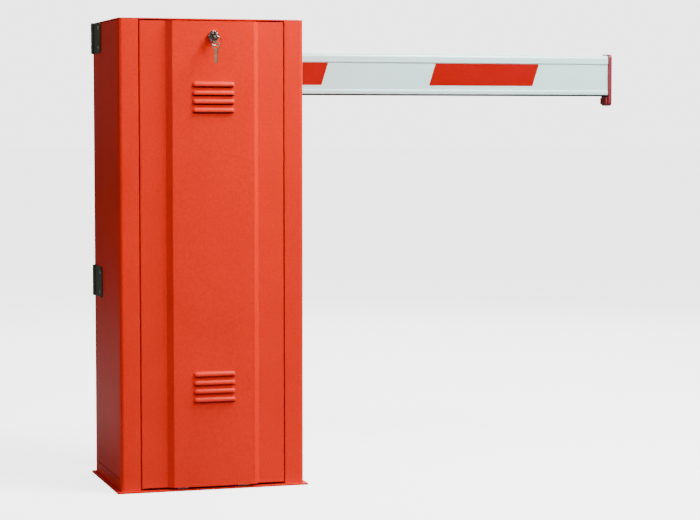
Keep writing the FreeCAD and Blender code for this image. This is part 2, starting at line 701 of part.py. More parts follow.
def lever(x, z, angle, arm, y, hub_r, shaft_r, pin_r, pin_to):
    """Keyed lever: hub, tapered arm and a fixed pin that stands out towards +Y."""
    px, pz = pointed(angle, arm)
    hub = along_y(y - 4, y + LINK_PLATE + 4, x, z, hub_r)
    end = along_y(y, y + LINK_PLATE, x + px, z + pz, pin_r + 9)
    across = V(-pz, 0, px)
    across.normalize()
    a, b = hub_r * 0.8, pin_r + 6
    centre, tip = V(x, y, z), V(x + px, y, z + pz)
    corners = [centre + across * a, tip + across * b, tip - across * b, centre - across * a]
    plate = extrude([(p.x, p.y, p.z) for p in corners], (0, LINK_PLATE, 0))
    pin = along_y(y, pin_to, x + px, z + pz, pin_r)
    body = join([hub, end, plate, pin])
    return body.cut(along_y(y - 10, y + LINK_PLATE + 10, x, z, shaft_r))


def drive_lever():
    return lever(0, BOOM_AXIS_Z, LINK_ANGLE, LINK_ARM, LINK_Y, SHAFT_R + 11, SHAFT_R,
                 LINK_PIN_R, ROD_Y + LINK_PLATE + 4)


def spring_lever():
    return lever(0, BOOM_AXIS_Z, 180, SPRING_ARM, SPRING_LEVER_Y, SHAFT_R + 11, SHAFT_R,
                 SPRING_PIN_R, SPRING_Y + 9)


def crank():
    return lever(0, DRIVE_Z, LINK_ANGLE, LINK_ARM, LINK_Y, OUT_SHAFT_R + 10, OUT_SHAFT_R,
                 LINK_PIN_R, ROD_Y + LINK_PLATE + 4)


def tie_rod():
    """Flat rod with an eye at each end; it stays upright as crank and lever turn together."""
    px, pz = pointed(LINK_ANGLE, LINK_ARM)
    y1 = ROD_Y + LINK_PLATE
    low, top = DRIVE_Z + pz, BOOM_AXIS_Z + pz
    body = join([along_y(ROD_Y, y1, px, low, 17.0), along_y(ROD_Y, y1, px, top, 17.0),
                 block(px - 9, px + 9, ROD_Y + 1, y1 - 1, low, top)])
    for z in (low, top):
        body = body.cut(along_y(ROD_Y - 1, y1 + 1, px, z, LINK_PIN_R + PIN_RUN))
    return body


def bearing(y_wall):
    """Flanged bearing unit that stands on the front of a wall or plate."""
    half = SHAFT_R + 26
    plate = block(-half, half, y_wall - 8, y_wall, BOOM_AXIS_Z - half, BOOM_AXIS_Z + half)
    plate = round_edges(plate, 14.0, 1)
    unit = join([plate, along_y(y_wall - 27, y_wall, 0, BOOM_AXIS_Z, SHAFT_R + 16)])
    return unit.cut(along_y(y_wall - 28, y_wall + 1, 0, BOOM_AXIS_Z, SHAFT_R + RUN))


def shaft_bearings():
    """One unit on the rear wall and one on the drive plate."""
    return group([bearing(REAR - SHEET), bearing(CHASSIS_Y)])


def bearing_bolts():
    shapes = []
    for y_face in (REAR - SHEET - 8, CHASSIS_Y - 8):
        for sx in (-1, 1):
            for sz in (-1, 1):
                out = SHAFT_R + 17
                shapes.append(along_y(y_face - 5, y_face, sx * out, BOOM_AXIS_Z + sz * out, 7.5))
    return shapes


def limit_cams():
    """Two notched discs on the main shaft; each end position has its own disc."""
    shapes = []
    for y, start in zip(CAM_Y, (20.0, 110.0)):
        disc = along_y(y, y + 6, 0, BOOM_AXIS_Z, CAM_R)
        x, z = pointed(start, CAM_R)
        disc = disc.cut(along_y(y - 1, y + 7, x, BOOM_AXIS_Z + z, 9.0))
        shapes.append(disc.cut(along_y(y - 1, y + 7, 0, BOOM_AXIS_Z, SHAFT_R)))
    return group(shapes)


def limit_sensors():
    """Round proximity sensors that look at the rims of the cam discs from the right."""
    return group([along_x(CAM_R + 2.5, CAM_R + 46, y + 3, BOOM_AXIS_Z, SENSOR_R) for y in CAM_Y])


def sensor_bracket():
    x = CAM_R + 18
    web = block(x, x + 4, WHEEL_Y - 2, CHASSIS_Y, BOOM_AXIS_Z - 14, BOOM_AXIS_Z + 14)
    foot = block(x, x + 24, CHASSIS_Y - 4, CHASSIS_Y, BOOM_AXIS_Z - 14, BOOM_AXIS_Z + 14)
    body = join([web, foot])
    for y in CAM_Y:
        body = body.cut(along_x(x - 2, x + 8, y + 3, BOOM_AXIS_Z, SENSOR_R))
    return body


# ---- balance spring ------------------------------------------------------------------------
def balance_spring():
    """Outer shape of the extension spring with its two eyes, boom down."""
    x = -SPRING_ARM
    foot = SPRING_FOOT_Z + SPRING_EYE_R
    top = BOOM_AXIS_Z - SPRING_TOP_EYE_R
    low, high = foot + 22, top - 22
    coil = along_z(low, high, x, SPRING_Y, SPRING_R)
    coil = coil.cut(along_z(low + 6, high - 6, x, SPRING_Y, SPRING_R - 2 * SPRING_WIRE_R))
    legs = [along_z(z, z + 22, x, SPRING_Y, SPRING_EYE_WIRE_R) for z in (foot, high)]
    eyes = [ring(x, SPRING_FOOT_Z, SPRING_EYE_R, V(0, 1, 0), SPRING_EYE_WIRE_R),
            ring(x, BOOM_AXIS_Z, SPRING_TOP_EYE_R, V(0, 1, 0), SPRING_EYE_WIRE_R)]
    return join([coil] + legs + eyes)


def ring(x, z, radius, axis, wire):
    return Part.makeTorus(radius, wire, V(x, SPRING_Y, z), axis)


def spring_eye_bolt():
    """Threaded rod whose ring passes through the spring's lower eye."""
    x = -SPRING_ARM
    low = SPRING_FOOT_Z - 2 * EYE_RING_R
    shank = along_z(140, low, x, SPRING_Y, EYE_BOLT_R)
    return join([shank, ring(x, SPRING_FOOT_Z - EYE_RING_R, EYE_RING_R, V(1, 0, 0), EYE_RING_WIRE_R)])


def spring_anchor():
    """Bracket on the base plate with a ledge that takes the pull of the spring."""
    x0, x1 = -SPRING_ARM - 32, -SPRING_ARM + 32
    post = block(x0, x1, SPRING_Y + 18, SPRING_Y + 24, BASE_THICK, 190)
    ledge = block(x0, x1, SPRING_Y - 22, SPRING_Y + 24, 182, 190)
    foot = block(x0, x1, SPRING_Y - 22, SPRING_Y + 24, BASE_THICK, BASE_THICK + 6)
    ribs = [extrude([(x, SPRING_Y + 18, 110), (x, SPRING_Y + 18, 182), (x, SPRING_Y - 20, 182)],
                    (5, 0, 0)) for x in (x0, x1 - 5)]
    body = join([post, ledge, foot] + ribs)
    return body.cut(along_z(180, 192, -SPRING_ARM, SPRING_Y, EYE_BOLT_R + 0.5))


def spring_nuts():
    shapes = []
    for z in (158.0, 170.0, 190.0):
        points = [(-SPRING_ARM + 11 * math.cos(math.radians(60 * i)),
                   SPRING_Y + 11 * math.sin(math.radians(60 * i)), z) for i in range(6)]
        nut = extrude(points, (0, 0, 10 if z < 180 else 8))
        shapes.append(nut.cut(along_z(z - 1, z + 12, -SPRING_ARM, SPRING_Y, EYE_BOLT_R)))
    return shapes


# ---- drive plate, gearbox and motor --------------------------------------------------------
def chassis_plate():
    plate = block(-CHASSIS_HALF, CHASSIS_HALF, CHASSIS_Y, CHASSIS_Y + CHASSIS_THICK,
                  CHASSIS_LOW, CHASSIS_TOP)
    plate = plate.cut(along_y(CHASSIS_Y - 1, CHASSIS_Y + 9, 0, BOOM_AXIS_Z, SHAFT_R + 6))
    return plate.cut(along_y(CHASSIS_Y - 1, CHASSIS_Y + 9, 0, DRIVE_Z, OUT_SHAFT_R + 8))


def chassis_brackets():
    """Folded side cheeks that carry the drive plate from the rear wall."""
    shapes = []
    y0 = CHASSIS_Y + CHASSIS_THICK
    y1 = REAR - SHEET
    for side in (-1, 1):
        x0, x1 = sorted((side * CHASSIS_HALF, side * (CHASSIS_HALF - 4)))
        cheek = block(x0, x1, y0, y1, CHASSIS_LOW, CHASSIS_TOP)
        fx0, fx1 = sorted((side * CHASSIS_HALF, side * (CHASSIS_HALF + 24)))
        foot = block(fx0, fx1, y1 - 4, y1, CHASSIS_LOW, CHASSIS_TOP)
        window = block(x0 - 1, x1 + 1, y0 + 22, y1 - 22, CHASSIS_LOW + 50, CHASSIS_TOP - 50)
        shapes.append(join([cheek, foot]).cut(window).cut(chassis_bolt_holes()))
    return group(shapes)


def chassis_bolt_places():
    return [(side * (CHASSIS_HALF + 13), z) for side in (-1, 1)
            for z in (CHASSIS_LOW + 40, (CHASSIS_LOW + CHASSIS_TOP) / 2, CHASSIS_TOP - 40)]


def chassis_bolt_holes():
    """Clearance holes through the rear wall and the feet of the cheeks."""
    return [along_y(REAR - 20, REAR + 1, x, z, CHASSIS_BOLT_R + 0.3) for x, z in chassis_bolt_places()]


def chassis_bolts():
    """Hexagon bolts through the rear wall into the feet of the cheeks."""
    return [bolt_y(x, REAR, z, CHASSIS_BOLT_R, 16, 1) for x, z in chassis_bolt_places()]


def box_limits():
    """Inside and outside of the gearbox: half width, lower and upper Z."""
    inner = (BOX_HALF - BOX_WALL, WORM_Z - WORM_PITCH_R - 8, DRIVE_Z + WHEEL_R + 9)
    outer = (BOX_HALF, inner[1] - BOX_WALL, inner[2] + BOX_WALL)
    return inner, outer


def gearbox_housing():
    inner, outer = box_limits()
    front = CHASSIS_Y - BOX_DEPTH
    body = block(-outer[0], outer[0], front, CHASSIS_Y, outer[1], outer[2])
    body = round_edges(body, 8.0, 1)
    body = body.cut(block(-inner[0], inner[0], front - 1, CHASSIS_Y - BOX_WALL, inner[1], inner[2]))
    body = body.cut(along_y(CHASSIS_Y - 12, CHASSIS_Y + 1, 0, DRIVE_Z, OUT_SHAFT_R + RUN))
    return body.cut(along_x(-outer[0] - 1, outer[0] + 1, WHEEL_Y, WORM_Z, WORM_SHAFT_R + RUN))


def gearbox_cover():
    outer = box_limits()[1]
    front = CHASSIS_Y - BOX_DEPTH
    plate = block(-outer[0], outer[0], front - COVER_THICK, front, outer[1], outer[2])
    plate = round_edges(plate, 8.0, 1)
    boss = along_y(front - COVER_THICK - 6, front, 0, DRIVE_Z, OUT_SHAFT_R + 12)
    body = join([plate, boss])
    return body.cut(along_y(front - 2, front + 1, 0, DRIVE_Z, OUT_SHAFT_R + RUN))


def cover_screws():
    outer = box_limits()[1]
    y = CHASSIS_Y - BOX_DEPTH - COVER_THICK
    shapes = []
    for sx in (-1, 1):
        for z in (outer[1] + 10, (outer[1] + outer[2]) / 2, outer[2] - 10):
            shapes.append(along_y(y - 5, y, sx * (BOX_HALF - 7), z, 4.5))
    return shapes


def machine_bolts():
    """Every fixed bolt and nut: bearings, drive plate, gearbox cover and spring eye bolt."""
    return group(bearing_bolts() + chassis_bolts() + cover_screws() + spring_nuts())


def output_shaft():
    return along_y(CHASSIS_Y - BOX_DEPTH - 1.5, LINK_Y + LINK_PLATE + 6, 0, DRIVE_Z, OUT_SHAFT_R)


def worm_wheel():
    """Bronze wheel with straight teeth that stand in the worm's thread with play."""
    root = WHEEL_R - 1.2 * MODULE
    tip = WHEEL_R + 0.9 * MODULE
    thick = math.pi * MODULE / 2 - MESH_SLACK
    y0, y1 = WHEEL_Y - WHEEL_WIDE / 2, WHEEL_Y + WHEEL_WIDE / 2
    wheel = along_y(y0, y1, 0, DRIVE_Z, root)
    teeth = []
    for i in range(TEETH):
        turn = FreeCAD.Rotation(V(0, 1, 0), 360.0 * (i + 0.5) / TEETH)
        corners = [(-thick * 0.72, root - 1), (-thick * 0.3, tip), (thick * 0.3, tip),
                   (thick * 0.72, root - 1)]
        tooth = extrude([(x, y0, z) for x, z in corners], (0, WHEEL_WIDE, 0))
        tooth.Placement = FreeCAD.Placement(V(0, 0, DRIVE_Z), turn)
        teeth.append(tooth)
    wheel = wheel.fuse(teeth)
    hub = along_y(y0 - 6, y1 + 6, 0, DRIVE_Z, OUT_SHAFT_R + 8)
    return wheel.fuse(hub).cut(along_y(y0 - 10, y1 + 10, 0, DRIVE_Z, OUT_SHAFT_R)).removeSplitter()


def worm_shaft():
    """Steel worm: one right-hand thread on a shaft that also carries the motor's rotor."""
    lead = math.pi * MODULE
    turns = 5
    root = WORM_PITCH_R - 1.15 * MODULE
    tip = WORM_PITCH_R + 0.9 * MODULE
    half_foot = lead / 2 - MESH_SLACK - 1.0
    start = -turns * lead / 2
    helix = Part.makeHelix(lead, turns * lead, root)
    foot = half_foot * 0.75
    crest = half_foot * 0.32
    section = Part.makePolygon([V(root - 0.6, 0, -foot), V(tip, 0, -crest), V(tip, 0, crest),
                                V(root - 0.6, 0, foot), V(root - 0.6, 0, -foot)])
    thread = Part.Wire(helix.Edges).makePipeShell([section], True, True)
    thread.Placement = FreeCAD.Placement(V(start, WHEEL_Y, WORM_Z), FreeCAD.Rotation(V(0, 1, 0), 90))
    core = along_x(start - 6, -start + 6, WHEEL_Y, WORM_Z, root)
    shaft = along_x(-BOX_HALF - 16, motor_ends()[1] + FAN_LONG + 8, WHEEL_Y, WORM_Z, WORM_SHAFT_R)
    return core.fuse(thread).fuse(shaft).removeSplitter()


def motor_ends():
    return BOX_HALF + 2.0, BOX_HALF + 2.0 + MOTOR_LONG


def motor_housing():
    """Finned motor shell with its flange against the gearbox."""
    x0, x1 = motor_ends()
    shell = along_x(x0, x1, WHEEL_Y, WORM_Z, MOTOR_R - 4)
    fins = [shell]
    for i in range(20):
        fin = block(x0 + 10, x1 - 6, -1.0, 1.0, MOTOR_R - 8, MOTOR_R)
        turn = FreeCAD.Rotation(V(1, 0, 0), 18.0 * i)
        fin.Placement = FreeCAD.Placement(V(0, WHEEL_Y, WORM_Z), turn)
        fins.append(fin)
    body = fins[0].fuse(fins[1:])
    flange = along_x(BOX_HALF, x0 + 6, WHEEL_Y, WORM_Z, MOTOR_R - 2)
    body = body.fuse(flange)
    body = body.cut(along_x(x0 + 8, x1 - MOTOR_WALL, WHEEL_Y, WORM_Z, MOTOR_R - 4 - MOTOR_WALL))
    return body.cut(along_x(BOX_HALF - 1, x1 + 1, WHEEL_Y, WORM_Z, WORM_SHAFT_R + RUN)).removeSplitter()


def motor_rotor():
    x0, x1 = motor_ends()
    drum = along_x(x0 + 18, x1 - MOTOR_WALL - 12, WHEEL_Y, WORM_Z, MOTOR_R - 12)
    return drum.cut(along_x(x0, x1, WHEEL_Y, WORM_Z, WORM_SHAFT_R))


def motor_fan():
    x0 = motor_ends()[1] + 3
    hub = along_x(x0, x0 + FAN_LONG, WHEEL_Y, WORM_Z, WORM_SHAFT_R + 5)
    blades = []
    for i in range(8):
        blade = block(x0, x0 + FAN_LONG, -1.0, 1.0, WORM_SHAFT_R + 3, MOTOR_R - 10)
        turn = FreeCAD.Rotation(V(1, 0, 0), 45.0 * i)
        blade.Placement = FreeCAD.Placement(V(0, WHEEL_Y, WORM_Z), turn)
        blades.append(blade)
    body = hub.fuse(blades)
    return body.cut(along_x(x0 - 1, x0 + 20, WHEEL_Y, WORM_Z, WORM_SHAFT_R)).removeSplitter()


def fan_cover():
    x0 = motor_ends()[1]
    outer = along_x(x0, x0 + FAN_COVER_LONG, WHEEL_Y, WORM_Z, MOTOR_R)
    inner = along_x(x0 - 1, x0 + FAN_COVER_LONG - 1.5, WHEEL_Y, WORM_Z, MOTOR_R - 1.5)
    body = outer.cut(inner)
    for i in range(12):
        slot = block(x0 + FAN_COVER_LONG - 5, x0 + FAN_COVER_LONG + 1, -2, 2, 14, MOTOR_R - 8)
        turn = FreeCAD.Rotation(V(1, 0, 0), 30.0 * i)
        slot.Placement = FreeCAD.Placement(V(0, WHEEL_Y, WORM_Z), turn)
        body = body.cut(slot)
    return body


def hand_crank_knob():
    """Hexagon on the free end of the worm shaft, for winding the boom by hand."""
    x0 = -BOX_HALF - 22
    points = [(x0, WHEEL_Y + 16 * math.cos(math.radians(60 * i)),
               WORM_Z + 16 * math.sin(math.radians(60 * i))) for i in range(6)]
    knob = extrude(points, (18, 0, 0))
    return knob.cut(along_x(-BOX_HALF - 16, 0, WHEEL_Y, WORM_Z, WORM_SHAFT_R))


def stop_buffers():
    """Rubber stops on the drive plate, one for each end of the drive lever's swing."""
    shapes = []
    reach = LINK_PIN_R + 9 + BUFFER_R + BUFFER_GAP
    beside = 2 * math.degrees(math.asin(reach / (2 * LINK_ARM)))
    for angle in (LINK_ANGLE - beside, LINK_ANGLE + 90 + beside):
        x, z = pointed(angle, LINK_ARM)
        shapes.append(along_y(CHASSIS_Y + CHASSIS_THICK, LINK_Y + LINK_PLATE, x, BOOM_AXIS_Z + z,
                              BUFFER_R))
    return group(shapes)


# ---- control case --------------------------------------------------------------------------
def control_case():
    """Moulded case, open to the front, with feet for the rear wall and lugs for the lid."""
    x0, x1 = CASE_X
    z0, z1 = CASE_Z
    body = block(x0, x1, CASE_FRONT, CASE_BACK, z0, z1)
    body = round_edges(body, 6.0, 1)
    body = body.cut(block(x0 + CASE_WALL, x1 - CASE_WALL, CASE_FRONT - 1, CASE_BACK - CASE_WALL,
                          z0 + CASE_WALL, z1 - CASE_WALL))
    for x in gland_places():
        body = body.cut(along_z(z0 - 1, z0 + 10, x, gland_y(), GLAND_R - 2))
    feet = [along_y(CASE_BACK - 1, REAR - SHEET, x, z, 7) for x in (x0 + 20, x1 - 20)
            for z in (z0 + 20, z1 - 20)]
    return join([body] + feet + lid_lugs())


def gland_places():
    x0, x1 = CASE_X
    return [x0 + (x1 - x0) * (i + 1) / 5 for i in range(4)]


def gland_y():
    return (CASE_FRONT + CASE_BACK) / 2


def cable_glands():
    z0 = CASE_Z[0]
    shapes = []
    for x in gland_places():
        y = gland_y()
        body = join([along_z(z0 - 8, z0, x, y, GLAND_R + 2), along_z(z0 - 20, z0 - 8, x, y, GLAND_R),
                     along_z(z0, z0 + 9, x, y, GLAND_R - 2)])
        shapes.append(body.cut(along_z(z0 - 21, z0 + 10, x, y, 4.0)))
    return group(shapes)


def lid_axis():
    return CASE_X[0] - 3.0, CASE_FRONT - LID_THICK / 2


def case_lid():
    x0, x1 = CASE_X
    z0, z1 = CASE_Z
    plate = block(x0 + 1.5, x1, CASE_FRONT - LID_THICK, CASE_FRONT - 0.3, z0, z1)
    plate = round_edges(plate, 4.0, 1, lambda m: m.x > 0)
    ax, ay = lid_axis()
    tabs = []
    for z in (z0 + 30, z1 - 60):
        tab = block(ax, x0 + 3, ay - 1, ay + 1, z, z + 30)
        tabs.append(tab.fuse(along_z(z, z + 30, ax, ay, 2.6)))
    lid = join([plate] + tabs)
    return lid.cut(along_z(z0, z1, ax, ay, 1.2 + RUN))


def lid_lugs():
    """A pin with a lug above and below for each knuckle of the lid."""
    ax, ay = lid_axis()
    z0, z1 = CASE_Z
    shapes = []
    for z in (z0 + 30, z1 - 60):
        shapes.append(along_z(z - 6, z + 36, ax, ay, 1.2))
        for zz in (z - 6, z + 30.3):
            shapes.append(block(ax - 1.5, CASE_X[0] + 1, ay - 1.5, CASE_FRONT + 8, zz, zz + 5.7))
    return shapes


def board_face():
    return CASE_BACK - CASE_WALL - 8.0


def circuit_board():
    x0, x1 = CASE_X
    z0, z1 = CASE_Z
    y = board_face()
    board = block(x0 + 16, x1 - 16, y - 1.6, y, z0 + 30, z1 - 18)
    legs = [along_y(y, CASE_BACK - CASE_WALL, x, z, 3) for x in (x0 + 22, x1 - 22)
            for z in (z0 + 36, z1 - 24)]
    return join([board] + legs)


def on_board(x, z, wide, high, deep):
    y = board_face() - 1.6
    return block(x, x + wide, y - deep, y, z, z + high)


def terminal_block():
    z = CASE_Z[0] + 34
    x = CASE_X[0] + 24
    body = on_board(x, z, 150, 14, 16)
    for i in range(18):
        body = body.cut(along_y(board_face() - 20, board_face() - 12, x + 8 + i * 7.9, z + 7, 2.6))
    return body


def board_components():
    """Relays, mains transformer and smoothing capacitors soldered to the board."""
    x0, z0 = CASE_X[0], CASE_Z[0]
    y = board_face() - 1.6
    shapes = [on_board(x0 + 26 + i * 26, z0 + 66, 20, 27, 17) for i in range(4)]
    core = on_board(x0 + 28, z0 + 116, 58, 50, 24)
    shapes.append(join([core, on_board(x0 + 38, z0 + 124, 38, 34, 36)]))
    shapes += [along_y(y - 34, y, x0 + 114 + i * 26, z0 + 150, 11) for i in range(3)]
    return group(shapes)


NODES = [
    base_plate, front_left_post, right_wall, rear_wall, top_cover,
    cabinet_door, door_pivot_brackets, door_hooks, door_gasket,
    lock_barrel, lock_nut, lock_plug, lock_cam, door_key, key_ring, spare_key,
    side_panel, panel_leaves, frame_leaves, leaf_screws,
    boom_profile, boom_edge_rubber, boom_stripes, boom_end_cap,
    boom_holder, boom_liner, boom_clamp_plate, boom_clamp_bolts,
    main_shaft, drive_lever, spring_lever, limit_cams, shaft_bearings,
    limit_sensors, sensor_bracket, crank, tie_rod,
    balance_spring, spring_eye_bolt, spring_anchor,
    chassis_plate, chassis_brackets, machine_bolts, stop_buffers,
    gearbox_housing, gearbox_cover, output_shaft, worm_wheel, worm_shaft,
    motor_housing, motor_rotor, motor_fan, fan_cover, hand_crank_knob,
    control_case, cable_glands, case_lid, circuit_board, terminal_block, board_components,
]

os.makedirs("parts", exist_ok=True)
for make in NODES:
    shape = make()
    shape.exportStep("parts/" + make.__name__ + ".step")
    print(make.__name__, shape.isValid(), len(shape.Solids), round(shape.Volume))
print(len(NODES), "nodes")
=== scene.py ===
import bmesh
import bpy
import json
import math
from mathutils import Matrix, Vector


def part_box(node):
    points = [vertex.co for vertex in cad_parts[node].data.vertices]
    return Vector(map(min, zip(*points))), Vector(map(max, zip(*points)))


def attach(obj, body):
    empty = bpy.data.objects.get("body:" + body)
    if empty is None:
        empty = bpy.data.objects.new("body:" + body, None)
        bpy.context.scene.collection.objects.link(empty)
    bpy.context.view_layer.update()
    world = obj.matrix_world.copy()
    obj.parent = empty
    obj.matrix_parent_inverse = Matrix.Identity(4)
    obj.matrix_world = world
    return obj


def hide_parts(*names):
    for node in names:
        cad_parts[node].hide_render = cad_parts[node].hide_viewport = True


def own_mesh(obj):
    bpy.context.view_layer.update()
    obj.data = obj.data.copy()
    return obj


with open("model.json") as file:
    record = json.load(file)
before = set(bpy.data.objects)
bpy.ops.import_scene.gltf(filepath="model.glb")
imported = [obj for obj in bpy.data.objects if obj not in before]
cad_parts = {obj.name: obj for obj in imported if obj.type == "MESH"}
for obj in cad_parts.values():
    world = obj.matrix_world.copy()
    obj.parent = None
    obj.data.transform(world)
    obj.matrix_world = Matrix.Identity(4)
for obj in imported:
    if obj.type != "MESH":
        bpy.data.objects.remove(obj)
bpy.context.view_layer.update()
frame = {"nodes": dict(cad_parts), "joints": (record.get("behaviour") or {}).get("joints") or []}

# ---- Studio: a pale floor that glows to the camera and bounces little light, one large softbox
# ---- high on the right with weaker ones to fill, white air behind, a long lens at chest height.
floor_span = 60.0
floor_glow_strength = 3.3
floor_mesh = bpy.data.meshes.new("studio_floor")
floor_mesh.from_pydata([(-floor_span, -floor_span, 0), (floor_span, -floor_span, 0),
                        (floor_span, floor_span, 0), (-floor_span, floor_span, 0)],
                       [], [(0, 1, 2, 3)])
floor = bpy.data.objects.new("studio_floor", floor_mesh)
bpy.context.scene.collection.objects.link(floor)
floor_paint = bpy.data.materials.new("studio_floor_paint")
floor_paint.use_nodes = True
floor_shader = floor_paint.node_tree.nodes["Principled BSDF"]
floor_shader.inputs["Base Color"].default_value = (0.85, 0.85, 0.85, 1)
floor_shader.inputs["Roughness"].default_value = 0.9
floor_shader.inputs["Specular IOR Level"].default_value = 0.0
floor_tree = floor_paint.node_tree
floor_bounce = floor_tree.nodes.new("ShaderNodeBsdfDiffuse")
floor_bounce.inputs["Color"].default_value = (0.28, 0.28, 0.28, 1)
floor_glow = floor_tree.nodes.new("ShaderNodeEmission")
floor_glow.inputs["Strength"].default_value = floor_glow_strength
floor_seen = floor_tree.nodes.new("ShaderNodeLightPath")
floor_sum = floor_tree.nodes.new("ShaderNodeAddShader")
floor_pick = floor_tree.nodes.new("ShaderNodeMixShader")
for start, end in ((floor_shader.outputs[0], floor_sum.inputs[0]),
                   (floor_glow.outputs[0], floor_sum.inputs[1]),
                   (floor_seen.outputs["Is Camera Ray"], floor_pick.inputs[0]),
                   (floor_bounce.outputs[0], floor_pick.inputs[1]),
                   (floor_sum.outputs[0], floor_pick.inputs[2]),
                   (floor_pick.outputs[0], floor_tree.nodes["Material Output"].inputs["Surface"])):
    floor_tree.links.new(start, end)
floor_mesh.materials.append(floor_paint)

cabinet_middle = (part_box("base_plate")[0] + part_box("top_cover")[1]) / 2
boom_middle = (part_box("boom_profile")[0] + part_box("boom_profile")[1]) / 2


def soft_light(name, place, target, width, watts, colour):
    """A square softbox aimed at the target."""
    lamp = bpy.data.lights.new(name, "AREA")
    lamp.size = width
    lamp.energy = watts
    lamp.color = colour
    holder = bpy.data.objects.new(name, lamp)
    holder.location = place
    holder.rotation_euler = (target - Vector(place)).to_track_quat("-Z", "Y").to_euler()
    bpy.context.scene.collection.objects.link(holder)


soft_light("key_softbox", (2.3, -3.0, 3.1), cabinet_middle, 1.4, 156, (1.0, 0.985, 0.96))
soft_light("front_top_softbox", (0.3, -1.6, 3.3), cabinet_middle, 0.9, 26, (1.0, 0.98, 0.95))
soft_light("boom_softbox", (1.3, -0.75, 2.6), boom_middle, 0.8, 118, (0.88, 1.0, 0.99))
soft_light("left_fill", (-3.9, -2.6, 1.8), cabinet_middle, 1.6, 42, (1.0, 0.93, 0.84))
soft_light("rear_fill", (1.9, 3.2, 2.6), cabinet_middle, 2.0, 110, (1.0, 1.0, 1.0))

# The air: dim and warm as a light on the pieces, bright and white to the camera.
dim_strength, bright_strength = 0.12, 3.5
studio_air = bpy.data.worlds.new("studio_air")
studio_air.use_nodes = True
air_tree = studio_air.node_tree
dim_air = air_tree.nodes["Background"]
dim_air.inputs["Color"].default_value = (1.0, 0.94, 0.86, 1)
dim_air.inputs["Strength"].default_value = dim_strength
bright_air = air_tree.nodes.new("ShaderNodeBackground")
bright_air.inputs["Color"].default_value = (1, 1, 1, 1)
bright_air.inputs["Strength"].default_value = bright_strength
air_seen = air_tree.nodes.new("ShaderNodeLightPath")
air_pick = air_tree.nodes.new("ShaderNodeMixShader")
air_tree.links.new(air_seen.outputs["Is Camera Ray"], air_pick.inputs[0])
air_tree.links.new(dim_air.outputs[0], air_pick.inputs[1])
air_tree.links.new(bright_air.outputs[0], air_pick.inputs[2])
air_tree.links.new(air_pick.outputs[0], air_tree.nodes["World Output"].inputs["Surface"])
bpy.context.scene.world = studio_air

lens = bpy.data.cameras.new("studio_camera")
lens.sensor_width = 36.0
lens.lens = 109.7
camera = bpy.data.objects.new("studio_camera", lens)
camera_turn = math.radians(-17.255)
camera_tilt = math.radians(-3.724)
camera.location = (-1.1151, -4.7726, 0.8236)
camera.rotation_euler = (math.radians(90) + camera_tilt, 0, camera_turn)
bpy.context.scene.collection.objects.link(camera)
bpy.context.scene.camera = camera

# ---- Cabinet sheets: 2 mm steel, folded, welded and then powder coated in traffic orange. The
# ---- coat is thick and satin, with a fine orange peel and small dark specks.


def effect(name, inputs, outputs):
    """An empty shader node group with its named sockets; returns the tree and its two ends."""
    tree = bpy.data.node_groups.new(name, "ShaderNodeTree")
    for label, kind, value in inputs:
        socket = tree.interface.new_socket(label, in_out="INPUT", socket_type=kind)
        socket.default_value = value
    for label, kind in outputs:
        tree.interface.new_socket(label, in_out="OUTPUT", socket_type=kind)
    return tree, tree.nodes.new("NodeGroupInput"), tree.nodes.new("NodeGroupOutput")


FLOAT, COLOUR = "NodeSocketFloat", "NodeSocketColor"


def maths(tree, operation, first, second=None, third=None):
    """A math node; each term is a socket or a number."""
    node = tree.nodes.new("ShaderNodeMath")
    node.operation = operation
    for slot_number, term in enumerate((first, second, third)):
        if term is None:
            continue
        if isinstance(term, (int, float)):
            node.inputs[slot_number].default_value = term
        else:
            tree.links.new(term, node.inputs[slot_number])
    return node.outputs[0]


def noise(tree, scale, detail=2.0, roughness=0.5, stretch=(1, 1, 1)):
    """Noise over the piece's own coordinates, scale in features per metre."""
    place = tree.nodes.new("ShaderNodeTexCoord")
    mapping = tree.nodes.new("ShaderNodeMapping")
    mapping.inputs["Scale"].default_value = stretch
    texture = tree.nodes.new("ShaderNodeTexNoise")
    texture.inputs["Detail"].default_value = detail
    texture.inputs["Roughness"].default_value = roughness
    if isinstance(scale, (int, float)):
        texture.inputs["Scale"].default_value = scale
    else:
        tree.links.new(scale, texture.inputs["Scale"])
    tree.links.new(place.outputs["Object"], mapping.inputs["Vector"])
    tree.links.new(mapping.outputs[0], texture.inputs["Vector"])
    return texture.outputs["Fac"]


def cells(tree, scale, feature="F1", stretch=(1, 1, 1)):
    """Voronoi distance over the piece's own coordinates."""
    place = tree.nodes.new("ShaderNodeTexCoord")
    mapping = tree.nodes.new("ShaderNodeMapping")
    mapping.inputs["Scale"].default_value = stretch
    texture = tree.nodes.new("ShaderNodeTexVoronoi")
    texture.feature = feature
    if isinstance(scale, (int, float)):
        texture.inputs["Scale"].default_value = scale
    else:
        tree.links.new(scale, texture.inputs["Scale"])
    tree.links.new(place.outputs["Object"], mapping.inputs["Vector"])
    tree.links.new(mapping.outputs[0], texture.inputs["Vector"])
    return texture.outputs["Distance"]


def blend_colour(tree, amount, first, second, mode="MIX"):
    """Mix two colours by amount."""
    node = tree.nodes.new("ShaderNodeMix")
    node.data_type = "RGBA"
    node.blend_type = mode
    amount_socket, first_socket, second_socket = node.inputs[0], node.inputs[6], node.inputs[7]
    for socket, term in ((amount_socket, amount), (first_socket, first), (second_socket, second)):
        if isinstance(term, (int, float, tuple)):
            socket.default_value = term
        else:
            tree.links.new(term, socket)
    return node.outputs[2]


def ramp(tree, value, low, high):
    """Value stretched so that low gives 0 and high gives 1."""
    node = tree.nodes.new("ShaderNodeMapRange")
    node.inputs["From Min"].default_value = low
    node.inputs["From Max"].default_value = high
    tree.links.new(value, node.inputs["Value"])
    return node.outputs[0]


